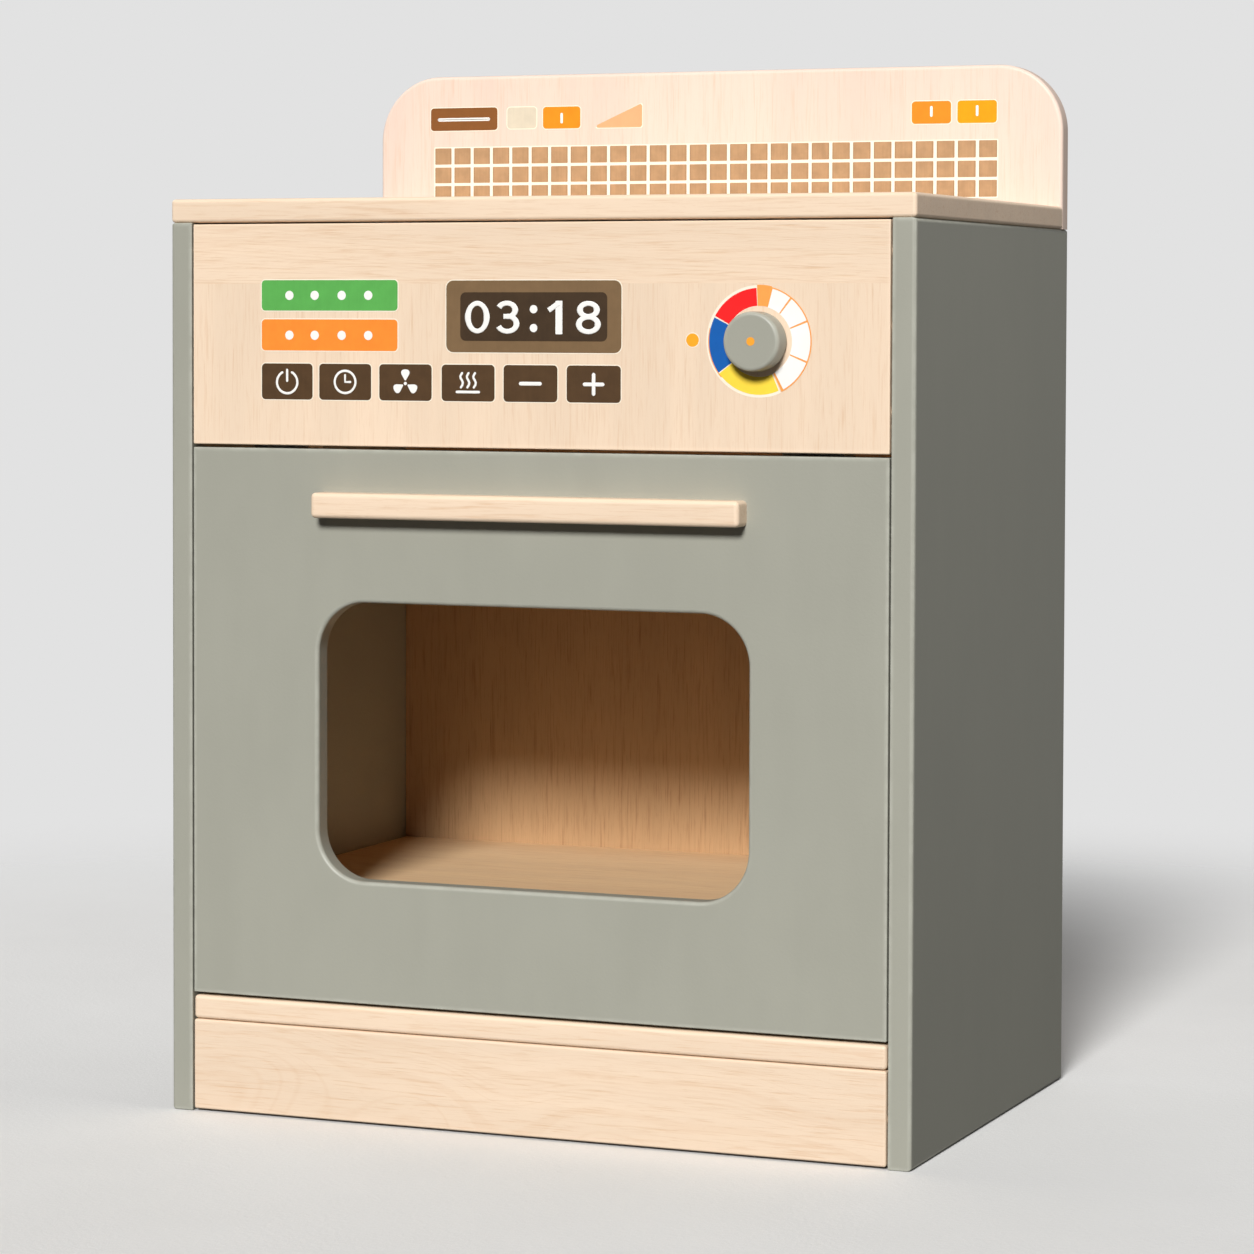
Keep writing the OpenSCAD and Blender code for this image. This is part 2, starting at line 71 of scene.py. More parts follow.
class Wire:
    """A number or vector on its way between two nodes. Arithmetic on it adds the Math nodes."""

    def __init__(self, finish, socket):
        self.finish = finish
        self.socket = socket

    def math(self, operation, *values):
        return self.finish.add("ShaderNodeMath", {"operation": operation}, dict(enumerate(values)))

    def __add__(self, other):
        return self.math("ADD", self, other)

    def __sub__(self, other):
        return self.math("SUBTRACT", self, other)

    def __rsub__(self, other):
        return self.math("SUBTRACT", other, self)

    def __mul__(self, other):
        return self.math("MULTIPLY", self, other)

    def __truediv__(self, other):
        return self.math("DIVIDE", self, other)

    def __pow__(self, other):
        return self.math("POWER", self, other)

    def __abs__(self):
        return self.math("ABSOLUTE", self)

    __radd__ = __add__
    __rmul__ = __mul__

    def least(self, other):
        return self.math("MINIMUM", self, other)

    def most(self, other):
        return self.math("MAXIMUM", self, other)

    def rise(self, start, end):
        """0 below start, 1 above end and a smooth step between; start may be the larger one."""
        return self.finish.add(
            "ShaderNodeMapRange",
            {"interpolation_type": "SMOOTHSTEP"},
            {"Value": self, "From Min": start, "From Max": end},
        )


class Finish:
    """A surface finish under way: a material, its shader, and the one way of adding a node."""

    def __init__(self, name, **constants):
        self.material = bpy.data.materials.new(name)
        self.material.use_nodes = True
        self.tree = self.material.node_tree
        self.shader = next(n for n in self.tree.nodes if n.type == "BSDF_PRINCIPLED")
        for socket, value in constants.items():
            self.shader.inputs[socket.replace("_", " ")].default_value = value

    def add(self, kind, settings=None, sockets=None, out=0):
        node = self.tree.nodes.new(kind)
        for key, value in (settings or {}).items():
            setattr(node, key, value)
        for key, value in (sockets or {}).items():
            if isinstance(value, Wire):
                self.tree.links.new(value.socket, node.inputs[key])
            else:
                node.inputs[key].default_value = value
        return Wire(self, node.outputs[out])

    def place(self):
        """Where a point of the piece is, in millimetres, as a vector."""
        where = self.add("ShaderNodeTexCoord", out="Object")
        return self.add("ShaderNodeVectorMath", {"operation": "SCALE"}, {0: where, "Scale": 1000})

    def axes(self, vector):
        """The three numbers of a vector."""
        split = self.add("ShaderNodeSeparateXYZ", sockets={0: vector}).socket.node
        return [Wire(self, socket) for socket in split.outputs]

    def noise(self, place, squeeze, shift=(0, 0, 0), detail=2, roughness=0.5, distortion=0):
        """Soft noise from 0 to 1. squeeze is how many of its cells fit in a millimetre."""
        at = self.add(
            "ShaderNodeVectorMath",
            {"operation": "MULTIPLY_ADD"},
            {0: place, 1: squeeze, 2: shift},
        )
        return self.add(
            "ShaderNodeTexNoise",
            {"noise_dimensions": "3D"},
            {
                "Vector": at, "Scale": 1, "Detail": detail,
                "Roughness": roughness, "Distortion": distortion,
            },
        )

    def mix(self, first, second, amount):
        """A colour between two others."""
        return self.add(
            "ShaderNodeMix",
            {"data_type": "RGBA", "clamp_factor": True},
            {0: amount, 6: first, 7: second},
            out=2,
        )

    def feed(self, socket, wire):
        self.tree.links.new(wire.socket, self.shader.inputs[socket])

    def bump(self, height, depth):
        """Raises the surface by depth metres where height is 1."""
        normal = self.add(
            "ShaderNodeBump", sockets={"Height": height, "Strength": 1, "Distance": depth}
        )
        self.feed("Normal", normal)


def tint(red, green, blue):
    """A colour given as it looks on a screen, from 0 to 255, as the shader wants it."""
    def linear(value):
        value /= 255
        return value / 12.92 if value <= 0.04045 else ((value + 0.055) / 1.055) ** 2.4
    return (linear(red), linear(green), linear(blue), 1)


def shade(colour, factor):
    """A lighter or darker version of a colour."""
    return (*(min(1, part * factor) for part in colour[:3]), 1)


def only(piece):
    """Selects one piece and nothing else."""
    bpy.ops.object.select_all(action="DESELECT")
    piece.select_set(True)
    bpy.context.view_layer.objects.active = piece


def pick(piece, kind, wanted):
    """In edit mode, selects the edges or faces whose middle and self pass the test."""
    bpy.ops.mesh.select_mode(type=kind)
    bpy.ops.mesh.select_all(action="DESELECT")
    shape = bmesh.from_edit_mesh(piece.data)
    for part in shape.edges if kind == "EDGE" else shape.faces:
        middle = sum((vertex.co for vertex in part.verts), Vector()) / len(part.verts)
        part.select_set(bool(wanted(middle, part)))
    bmesh.update_edit_mesh(piece.data)


def modify(piece, kind, **settings):
    """Adds one modifier to a piece and applies it."""
    only(piece)
    bpy.ops.object.modifier_add(type=kind)
    modifier = piece.modifiers[-1]
    for key, value in settings.items():
        setattr(modifier, key, value)
    bpy.ops.object.modifier_apply(modifier=modifier.name)


def smooth(piece):
    """Soft shading on the rounded edges, and flat faces that stay flat."""
    only(piece)
    bpy.ops.object.shade_smooth_by_angle(angle=math.radians(40))
    modify(piece, "WEIGHTED_NORMAL", keep_sharp=True)


def blank(name, primitive, **shape):
    """A primitive at its size and place, to be shaped further."""
    bpy.ops.object.select_all(action="DESELECT")
    primitive(**shape)
    piece = bpy.context.object
    piece.name = name
    bpy.ops.object.transform_apply()
    return piece


def open_mesh():
    """Goes into edit mode with the whole piece selected."""
    bpy.ops.object.mode_set(mode="EDIT")
    bpy.ops.mesh.select_all(action="SELECT")


def close_mesh():
    """Turns all faces outwards and leaves edit mode."""
    bpy.ops.mesh.select_all(action="SELECT")
    bpy.ops.mesh.normals_make_consistent(inside=False)
    bpy.ops.object.mode_set(mode="OBJECT")


def block(name, low, high):
    """A squared blank between two corners."""
    return blank(
        name, bpy.ops.mesh.primitive_cube_add,
        size=1, location=(low + high) / 2, scale=high - low,
    )


def round_over(piece, radius, wanted=lambda middle: True, segments=5):
    """Rounds those of a piece's square edges that the test picks."""
    bpy.ops.object.mode_set(mode="EDIT")
    pick(
        piece, "EDGE",
        lambda middle, edge: edge.calc_face_angle(0) > math.radians(60) and wanted(middle),
    )
    bpy.ops.mesh.bevel(offset=radius, segments=segments, affect="EDGES")
    bpy.ops.object.mode_set(mode="OBJECT")


def join(name, pieces):
    """Makes several shapes one piece."""
    only(pieces[0])
    for piece in pieces[1:]:
        piece.select_set(True)
    if len(pieces) > 1:
        bpy.ops.object.join()
    pieces[0].name = name
    return pieces[0]


def carve(piece, cutter):
    """Cuts one shape out of a piece and throws the shape away."""
    modify(piece, "BOOLEAN", operation="DIFFERENCE", object=cutter, solver="EXACT")
    bpy.data.objects.remove(cutter)


def bore(piece, places, radius, depth, outwards):
    """Drills blind holes into a face that looks outwards."""
    drills = [
        blank(
            "drill", bpy.ops.mesh.primitive_cylinder_add,
            vertices=32, radius=radius, depth=2 * depth, location=place,
            rotation=Vector(outwards).to_track_quat("Z", "Y").to_euler(),
        )
        for place in places
    ]
    carve(piece, join("drills", drills))
    smooth(piece)


fit_gap = 0.0001        # between a hole's wall and the fitting in it
near = 0.0001           # as close as this to a face counts as on it


def board(name, low, high, rounding):
    """A board between two corners, all its edges rounded."""
    piece = block(name, low, high)
    round_over(piece, rounding)
    smooth(piece)
    return piece


def fit(piece, finish, body, slot, *stands_for):
    """Gives a finished piece its surface and its body, and hides the nodes it stands for. The slot
    is not used.
    """
    piece.data.materials.clear()
    piece.data.materials.append(finish.material)
    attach(piece, body)
    if stands_for:
        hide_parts(*stands_for)


def second_least(gaps):
    """Of several distances from a surface point to a piece's faces, the distance to the nearest
    edge: the least is the face that the point is on, and the second least is the next face."""
    first, second = gaps[0].least(gaps[1]), gaps[0].most(gaps[1])
    for gap in gaps[2:]:
        second = second.least(first.most(gap))
        first = first.least(gap)
    return second


def wall_gaps(finish, place, low, high, which=(0, 1, 2)):
    """Distances in millimetres from a point to the walls of a box, one for each direction."""
    axes = finish.axes(place)
    return [
        (axes[direction] - low[direction] * 1000).least(high[direction] * 1000 - axes[direction])
        for direction in which
    ]


def sage_lacquer(name, measure_edge):
    """Satin lacquer, sprayed: faint clouds, a fine orange-peel skin, and paler edges that are
    partly a thinner coat and partly a painted highlight where the rounded edges catch the light.
    """
    sage = tint(160, 159, 146)
    paint = Finish(name, Specular_IOR_Level=0.5)
    place = paint.place()
    clouds = paint.noise(place, (0.011,) * 3, detail=3, roughness=0.55)
    strokes = paint.noise(place, (0.05, 0.05, 0.012), (31, 7, 19), detail=3)
    peel = paint.noise(place, (0.55,) * 3, (5, 71, 3), detail=2, roughness=0.6)
    edge = measure_edge(paint, place)
    edge_patches = paint.noise(place, (0.09,) * 3, (3, 11, 47), detail=4).rise(0.35, 0.65)
    # Paler edges: partly a thinner, rubbed coat and partly a painted highlight where the rounded
    # edges catch the light.
    wear_and_highlight = edge.rise(3.2, 0.6) * (0.35 + 0.4 * edge_patches)
    tone = clouds * 0.6 + strokes * 0.4
    colour = paint.mix(shade(sage, 0.975), shade(sage, 1.025), tone.rise(0.3, 0.7))
    colour = paint.mix(colour, tint(184, 184, 171), wear_and_highlight)
    paint.feed("Base Color", colour)
    paint.feed("Roughness", 0.40 + 0.1 * tone + 0.05 * peel - 0.06 * wear_and_highlight)
    paint.bump(peel + 0.5 * strokes, 0.00006)
    return paint


outer_rounding = 0.0028
inner_rounding = 0.0008

for side, label in ((-1, "left"), (1, "right")):
    low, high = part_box(f"{label}_side_panel")
    piece = block(f"{label}_side_board", low, high)
    outer_face = max(-low.x, high.x)
    round_over(piece, outer_rounding, lambda middle: abs(middle.x) > outer_face - near)
    round_over(piece, inner_rounding)
    bush_low, bush_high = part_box(f"{label}_pivot_bush")
    bush = (bush_low + bush_high) / 2
    bore(
        piece, [(bush_high.x if side < 0 else bush_low.x, bush.y, bush.z)],
        (bush_high.z - bush_low.z) / 2 + fit_gap, bush_high.x - bush_low.x, (-side, 0, 0),
    )
    lacquer = sage_lacquer(
        f"sage_lacquer_{label}_side",
        lambda finish, place: second_least(wall_gaps(finish, place, low, high)),
    )
    fit(piece, lacquer, "cabinet", "sage_paint", f"{label}_side_panel")


# ----------------------------------------------------------
# Bottom board and plinth. Pale beech boards between the sides, the plinth standing under the
# bottom board's front edge. Their front edges are rounded, and a fine dark line shows between
# them. Two corner blocks are glued behind the plinth.
# ----------------------------------------------------------

def beech(name, seed, along, base, figure, measure_edge=None, cathedral=0.0, depth=1.0):
    """Planed beech under clear matt lacquer. along is the grain's direction, figure the colour
    of its streaks and cathedral how strongly the year rings show as arcs."""
    wood = Finish(name, Specular_IOR_Level=0.4)
    place = wood.place()
    grain = "XYZ".index(along)
    across = [direction for direction in range(3) if direction != grain]
    start = (seed * 13.7, seed * 5.3, seed * 9.1)

    def cells(lengthwise, crosswise):
        return tuple(lengthwise if axis == grain else crosswise for axis in range(3))

    bands = wood.noise(place, cells(0.0022, 0.03), start, detail=3)
    waver = wood.noise(place, cells(0.005, 0.008), start, detail=1) - 0.5
    fibres = wood.noise(place, cells(0.035, 0.95), start, detail=3, roughness=0.6, distortion=0.25)
    streaks = wood.noise(place, cells(0.02, 0.42), start, detail=2, roughness=0.55, distortion=0.3)
    flecks = wood.noise(place, cells(0.16, 1.5), start, detail=1)

    numbers = wood.axes(place)
    length = numbers[grain]
    width, thick = (numbers[axis] for axis in across)
    pith = math.hypot(seed * 17.0 % 40, 30)
    bend = waver * 22
    radius = ((width + bend - pith) ** 2 + (thick + length * 0.07 + 12) ** 2) ** 0.5
    rings = wood.add(
        "ShaderNodeTexNoise",
        {"noise_dimensions": "1D"},
        {"W": radius * 0.42 + seed, "Scale": 1, "Detail": 1, "Roughness": 0.6},
    )

    ring_lines = 1 - abs(rings - 0.5).rise(0, 0.05)
    lines = fibres.rise(0.5, 0.74) * 0.55 + streaks.rise(0.55, 0.72) * 0.4
    lines = lines + flecks.rise(0.62, 0.78) * 0.25
    lines = lines + ring_lines * (cathedral * 0.32)
    tone = (bands.rise(0.25, 0.75) + fibres * 0.3) * 0.75
    colour = wood.mix(shade(base, 1.06), shade(base, 0.93), tone)
    colour = wood.mix(colour, figure, lines * (0.68 * depth))
    # Lighter along the edges: a painted highlight where the eased edges catch the light.
    if measure_edge:
        edge = measure_edge(wood, place)
        colour = wood.mix(colour, shade(base, 1.12), edge.rise(3.5, 0.8) * 0.5)
    wood.feed("Base Color", colour)
    wood.feed("Roughness", 0.5 + 0.12 * lines - 0.06 * bands)
    wood.bump(1 - (lines * 0.8 + fibres * 0.3), 0.00008)
    return wood


def box_edge(low, high):
    """Measures how far a surface point is from the nearest edge of a square board."""
    return lambda finish, place: second_least(wall_gaps(finish, place, low, high))


pale_beech = tint(238, 213, 186)
pale_figure = tint(215, 173, 132)

seam = Vector((0.001, 0, 0))            # a hair of a gap at the boards' ends, which shows dark
plinth_seam = Vector((0, 0, 0.0005))    # and over the plinth
bottom_rounding = 0.0025
plinth_rounding = 0.0015
block_rounding = 0.001


def fit_beech(piece, name, seed, along, measure_edge, node, slot="beech", body="cabinet",
              base=pale_beech, figure=pale_figure, **look):
    """Gives a beech piece its own cut of the wood, and the node that it stands for."""
    fit(piece, beech(name, seed, along, base, figure, measure_edge, **look), body, slot, node)


def cam_holes(piece, low):
    """Holes for the four cam locks in a board's underside, which is at low."""
    cam_radius = 0.0075
    cam_depth = 0.0115
    inset = Vector((cam_radius, cam_radius, 0))
    cams_low, cams_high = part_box("cam_locks")
    near_cam, far_cam = cams_low + inset, cams_high - inset
    places = [(x, y, low.z) for x in (near_cam.x, far_cam.x) for y in (near_cam.y, far_cam.y)]
    bore(piece, places, cam_radius + fit_gap, cam_depth + fit_gap, (0, 0, -1))


low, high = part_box("bottom_board")
piece = board("bottom_board_beech", low + seam, high - seam, bottom_rounding)
cam_holes(piece, low)
fit_beech(piece, "beech_bottom_board", 3, "X", box_edge(low, high), "bottom_board")

low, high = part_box("plinth")
piece = board("plinth_beech", low + seam, high - seam - plinth_seam, plinth_rounding)
fit_beech(
    piece, "beech_plinth", 11, "X", box_edge(low, high), "plinth",
    base=shade(pale_beech, 0.95), figure=shade(pale_figure, 0.95), cathedral=0.55,
)

for label in ("left", "right"):
    low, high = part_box(f"{label}_plinth_block")
    piece = board(f"{label}_corner_block", low, high, block_rounding)
    node = f"{label}_plinth_block"
    fit_beech(piece, f"beech_{label}_block", 17, "Z", box_edge(low, high), node)


# ----------------------------------------------------------
# Inside of the oven. Its floor, its ceiling, the stop batten under the floor's front edge and
# the rear rail are plain beech with the grain running across. The ceiling, batten and rail are
# a darker, warmer tone than the front: partly the inner boards' own tone and partly painted
# shade inside the oven. The floor is painted lighter, as painted light where light falls in
# through the window.
# ----------------------------------------------------------

# Painted shade: the inner boards' warmer tone, darkened for the shade inside the oven.
shaded_inner_beech = tint(208, 168, 124)
shaded_inner_figure = tint(156, 104, 60)
# Painted light: the oven floor, lighter where the light through the window falls on it.
lit_oven_floor_beech = tint(252, 214, 168)
lit_oven_floor_figure = tint(206, 156, 108)
hidden_rounding = 0.0012
batten_head = 0.004     # radius of the batten screws' heads, and their depth

for node, name, seed, base, figure in (
    ("oven_shelf", "oven_floor", 23, lit_oven_floor_beech, lit_oven_floor_figure),
    ("oven_ceiling", "oven_roof", 29, shaded_inner_beech, shaded_inner_figure),
    ("stop_batten", "door_stop", 31, shaded_inner_beech, shaded_inner_figure),
    ("rear_rail", "upper_rear_rail", 37, shaded_inner_beech, shaded_inner_figure),
):
    low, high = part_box(node)
    piece = board(name, low, high, hidden_rounding)
    if node in ("oven_shelf", "oven_ceiling"):
        cam_holes(piece, low)
    if node == "stop_batten":
        middle = (low + high) / 2
        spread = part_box("batten_screws")[1].x - batten_head
        places = [(x, middle.y, low.z) for x in (-spread, 0, spread)]
        bore(piece, places, batten_head + fit_gap, batten_head, (0, 0, -1))
    fit_beech(
        piece, f"beech_{name}", seed, "X", box_edge(low, high), node, "inner_beech",
        base=base, figure=figure,
    )


# ----------------------------------------------------------
# Back panel. A thin beech-faced plywood sheet, let in between the sides and screwed to the
# boards' rear edges. Its upright grain is what shows through the oven's window.
# ----------------------------------------------------------

thin_head, thin_shank = 0.006, 0.003        # diameters of the thin screws
thick_head, thick_shank = 0.008, 0.004      # and of the thick ones
sink_depth = 0.003
sheet_rounding = 0.0006

low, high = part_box("back_panel")
piece = board("back_sheet", low, high, sheet_rounding)
screws_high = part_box("back_panel_screws")[1]
back_screws = [
    (x, high.y, sum(corner.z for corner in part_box(node)) / 2)
    for x in (thin_head / 2 - screws_high.x, 0, screws_high.x - thin_head / 2)
    for node in ("bottom_board", "oven_shelf", "oven_ceiling", "rear_rail")
]
bore(piece, back_screws, thin_head / 2 + fit_gap, sink_depth, (0, 1, 0))
# The back sheet takes the darker inner tone, which is partly painted shade inside the oven.
fit_beech(
    piece, "beech_back_sheet", 41, "Z", box_edge(low, high), "back_panel", "inner_beech",
    base=shaded_inner_beech, figure=shaded_inner_figure,
)


# ----------------------------------------------------------
# Control panel and top rail. Two beech boards set edge to edge so that their faces are one:
# the panel's grain stands upright and the rail's lies along. The joint between them is tight
# and square, and only the outer edges are rounded.
# ----------------------------------------------------------

panel_low, panel_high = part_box("control_panel")
rail_low, rail_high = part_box("top_rail")
joint_z = rail_low.z
whole_front = box_edge(panel_low, rail_high)

edge_rounding = 0.0009
rail_seam = Vector((0, 0, 0.0011))      # the shadow line under the worktop

piece = block("control_panel_beech", panel_low + seam, panel_high - seam)
round_over(piece, edge_rounding, lambda middle: middle.z < joint_z - near)
smooth(piece)
fit_beech(piece, "beech_control_panel", 47, "Z", whole_front, "control_panel", depth=0.8)

piece = block("top_rail_beech", rail_low + seam, rail_high - seam - rail_seam)
round_over(piece, edge_rounding, lambda middle: middle.z > joint_z + near)
smooth(piece)
fit_beech(piece, "beech_top_rail", 53, "X", whole_front, "top_rail", cathedral=0.5)


# ----------------------------------------------------------
# Worktop. One beech board laid over the sides and doweled down to them, with its front and
# side edges eased. Its grain runs the full width.
# ----------------------------------------------------------

top_rounding = 0.0024
top_low, top_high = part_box("worktop")
piece = block("worktop_beech", top_low, top_high)
round_over(piece, top_rounding, lambda middle: middle.y < top_high.y - near)
smooth(piece)
fit_beech(piece, "beech_worktop", 59, "X", box_edge(top_low, top_high), "worktop")


# ----------------------------------------------------------
# Splashback. A beech board with two big rounded corners, screwed to the worktop's rear edge and
# doweled to the sides. Its face is printed with a row of little pictures over a band of tiles.
# ----------------------------------------------------------

splash_corner = 0.045
splash_rounding = 0.0026
splash_low, splash_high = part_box("splashback")
piece = block("splashback_beech", splash_low, splash_high)
round_over(
    piece, splash_corner,
    lambda middle: middle.z > splash_high.z - near and abs(middle.x) > splash_high.x - near,
    segments=24,
)
round_over(piece, splash_rounding, lambda middle: middle.z > splash_low.z + near)
screws_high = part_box("splashback_screws")[1]
screw_x = screws_high.x - thick_head / 2
splash_screws = [
    (x, splash_high.y, (top_low.z + top_high.z) / 2)
    for x in (-screw_x, -screw_x / 3, screw_x / 3, screw_x)
]
bore(piece, splash_screws, thick_head / 2 + fit_gap, sink_depth, (0, 1, 0))


def round_rect_gap(finish, place, low, high, radius):
    """Distance in millimetres inwards from an upright outline with round corners."""
    x, y, z = finish.axes(place)
    middle = [(low[0] + high[0]) * 500, (low[1] + high[1]) * 500]
    half = [(high[0] - low[0]) * 500 - radius, (high[1] - low[1]) * 500 - radius]
    over_x = abs(x - middle[0]) - half[0]
    over_z = abs(z - middle[1]) - half[1]
    outside = (over_x.most(0) ** 2 + over_z.most(0) ** 2) ** 0.5
    return radius - outside - over_x.most(over_z).least(0)


def splash_edge(finish, place):
    """Distance from the splashback's rounded edges. Its foot is square, and gets no painted edge
    highlight.
    """
    beyond_foot = 0.1
    foot_margin = 5
    outline = round_rect_gap(
        finish, place,
        (splash_low.x, splash_low.z - beyond_foot), (splash_high.x, splash_high.z),
        splash_corner * 1000,
    )
    above_foot = finish.axes(place)[2] - splash_low.z * 1000 + foot_margin
    return second_least(
        [outline, *wall_gaps(finish, place, splash_low, splash_high, (1,)), above_foot]
    )


splash_beech = tint(231, 207, 191)
splash_figure = tint(216, 178, 146)
fit_beech(
    piece, "beech_splashback", 61, "Z", splash_edge, "splashback",
    base=splash_beech, figure=splash_figure, depth=0.7,
)


def ink(name, colour, cloud=0.1, measure_edge=None):
    """Screen-printed ink over beech: it is a little cloudy, and the grain lifts it slightly."""
    dye = Finish(name, Specular_IOR_Level=0.2)
    place = dye.place()
    clouds = dye.noise(place, (0.09,) * 3, (3, 8, 1), detail=3, roughness=0.6)
    grain = dye.noise(place, (0.9, 0.9, 0.05), (9, 2, 7), detail=3)
    tone = (clouds * 0.75 + grain * 0.25).rise(0.25, 0.75)
    painted = dye.mix(shade(colour, 1 - cloud), shade(colour, 1 + cloud), tone)
    if measure_edge:
        painted = dye.mix(painted, shade(colour, 0.8), measure_edge(dye, place).rise(1.3, 0.2))
    dye.feed("Base Color", painted)
    dye.feed("Roughness", 0.55 + 0.12 * grain)
    dye.bump(grain + clouds * 0.3, 0.00003)
    return dye


ink_thickness = 0.00008
upright = (math.radians(90), 0, 0)


def card(name, x, z, face, radius, layer=1):
    """A flat printed rectangle with round corners, x and z each given as a pair in millimetres.
    face is the wood's surface, and layer counts the coats of ink from it."""
    bpy.ops.object.select_all(action="DESELECT")
    bpy.ops.mesh.primitive_plane_add(
        size=0.001,
        location=(sum(x) * 0.0005, face + ink_thickness / 2, sum(z) * 0.0005),
        rotation=upright,
    )
    piece = bpy.context.object
    piece.name = name
    piece.scale = (x[1] - x[0], z[1] - z[0], 1)
    bpy.ops.object.transform_apply()
    open_mesh()
    if radius:
        bpy.ops.mesh.bevel(offset=radius * 0.001, segments=6, affect="VERTICES")
    lift(layer)
    return piece


def lift(layer):
    """In edit mode, thickens a flat shape forwards into a coat of ink, and leaves edit mode."""
    bpy.ops.mesh.select_all(action="SELECT")
    bpy.ops.mesh.extrude_region_move(
        TRANSFORM_OT_translate={"value": (0, -ink_thickness * (layer + 0.5), 0)}
    )
    close_mesh()


def disc(name, x, z, face, radius, layer=1):
    """A round printed dot, placed and sized in millimetres."""
    piece = blank(
        name, bpy.ops.mesh.primitive_circle_add,
        vertices=40, radius=radius * 0.001, fill_type="NGON",
        location=(x * 0.001, face + ink_thickness / 2, z * 0.001), rotation=upright,
    )
    bpy.ops.object.mode_set(mode="EDIT")
    lift(layer)
    return piece


def outline_shape(name, points, face, layer=1):
    """A flat printed shape from its corners in millimetres: a triangle fan pulled to them."""
    piece = blank(
        name, bpy.ops.mesh.primitive_circle_add,
        vertices=len(points), radius=0.001, fill_type="NGON", rotation=upright,
    )
    for vertex, (x, z) in zip(piece.data.vertices, points):
        vertex.co = (x * 0.001, face + ink_thickness / 2, z * 0.001)
    bpy.ops.object.mode_set(mode="EDIT")
    lift(layer)
    return piece


def printed(name, pieces, finish):
    """Finishes a print that lies on the cabinet's front."""
    fit(join(name, pieces), finish, "cabinet", "beech")


splash_face = splash_low.y
cream_ink = ink("ink_cream", tint(248, 236, 216), cloud=0.02)
white_ink = ink("ink_white", tint(244, 242, 237), cloud=0.02)

halo = 0.6              # how far the pale undercoat shows round a print, in millimetres


def undercoat_card(name, x, z, face, corner):
    """The pale undercoat of a card, showing as a thin edge all round."""
    return card(
        f"under_{name}", (x[0] - halo, x[1] + halo), (z[0] - halo, z[1] + halo),
        face, corner + halo,
    )


picture_corner = 2.4
pictures = (
    ("brown_slot", (-211.3, -160.0), (642.0, 657.9), tint(132, 82, 38)),
    ("beige_tab", (-152.4, -130.2), (642.8, 657.6), tint(214, 203, 181)),
    ("orange_tab", (-125.2, -96.9), (642.3, 657.5), tint(250, 140, 24)),
    ("amber_tab", (145.0, 172.6), (641.3, 656.4), tint(250, 138, 32)),
    ("yellow_tab", (177.1, 204.6), (641.3, 656.4), tint(250, 156, 8)),
)
undercoat = []
for name, x, z, colour in pictures:
    undercoat.append(undercoat_card(name, x, z, splash_face, picture_corner))
    picture = card(name, x, z, splash_face, picture_corner, layer=2)
    printed(name, [picture], ink(f"ink_{name}", colour, 0.06))

wedge = [(-84.8, 643.2), (-83.8, 642.4), (-51.8, 642.4), (-50.6, 643.7),
         (-50.6, 657.1), (-51.6, 658.3), (-52.8, 658.1), (-84.2, 644.3)]
middle_x = sum(x for x, z in wedge) / len(wedge)
middle_z = sum(z for x, z in wedge) / len(wedge)
undercoat.append(
    outline_shape(
        "under_wedge",
        [(x + math.copysign(halo, x - middle_x), z + math.copysign(halo, z - middle_z))
         for x, z in wedge],
        splash_face,
    )
)
printed(
    "peach_wedge", [outline_shape("peach_wedge", wedge, splash_face, layer=2)],
    ink("ink_peach", tint(245, 172, 124), 0.04),
)

marks = [card("slot_line", (-206.0, -165.5), (648.6, 650.9), splash_face, 1.35, layer=3)]
mark_half = 0.9
for x in (-111.0, 158.8, 190.9):
    span = (x - mark_half, x + mark_half)
    marks.append(card("tab_mark", span, (645.9, 653.1), splash_face, 0.8, layer=3))
printed("picture_marks", marks, white_ink)

tile_columns = 28
tile_first, tile_last = -207.9, 204.9
joint = 2.3             # between one tile and the next
tile_pitch = (tile_last + joint - tile_first) / tile_columns
tile_width = tile_pitch - joint
tile_corner = 0.5
tile_rows = ((618.3, 629.7), (605.2, 616.2), (592.0, 603.2))
border = 0.8
undercoat.append(
    card(
        "under_tiles", (tile_first - border, tile_last + border),
        (tile_rows[-1][0] - border, tile_rows[0][1] + border), splash_face, border,
    )
)
printed("splash_undercoat", undercoat, cream_ink)


def tile_edge(finish, place):
    """Distance from the side of the tile that a point is on."""
    x = finish.axes(place)[0]
    within = ((x - tile_first) / tile_pitch).math("FRACT", (x - tile_first) / tile_pitch)
    return (within * tile_pitch).least(tile_width - within * tile_pitch)


rows = []
for z in tile_rows:
    first = (tile_first, tile_first + tile_width)
    row = card("tile_row", first, z, splash_face, tile_corner, layer=2)
    modify(
        row, "ARRAY", count=tile_columns, use_relative_offset=False,
        use_constant_offset=True, constant_offset_displace=(tile_pitch * 0.001, 0, 0),
    )
    rows.append(row)
tile_ink = ink("ink_tiles", tint(181, 143, 105), 0.14, tile_edge)
printed("tile_band", rows, tile_ink)


# ----------------------------------------------------------
# Prints on the control panel. Screen-printed inks with a thin pale edge: two indicator strips,
# a clock, six buttons and the cooking scale round the knob.
# ----------------------------------------------------------

panel_face = panel_low.y


def arc_points(x, z, radius_x, radius_z, start, end, steps):
    """Points on an arc, its angles in degrees anticlockwise from the right."""
    angles = [math.radians(start + (end - start) * step / steps) for step in range(steps + 1)]
    return [(x + radius_x * math.cos(a), z + radius_z * math.sin(a)) for a in angles]


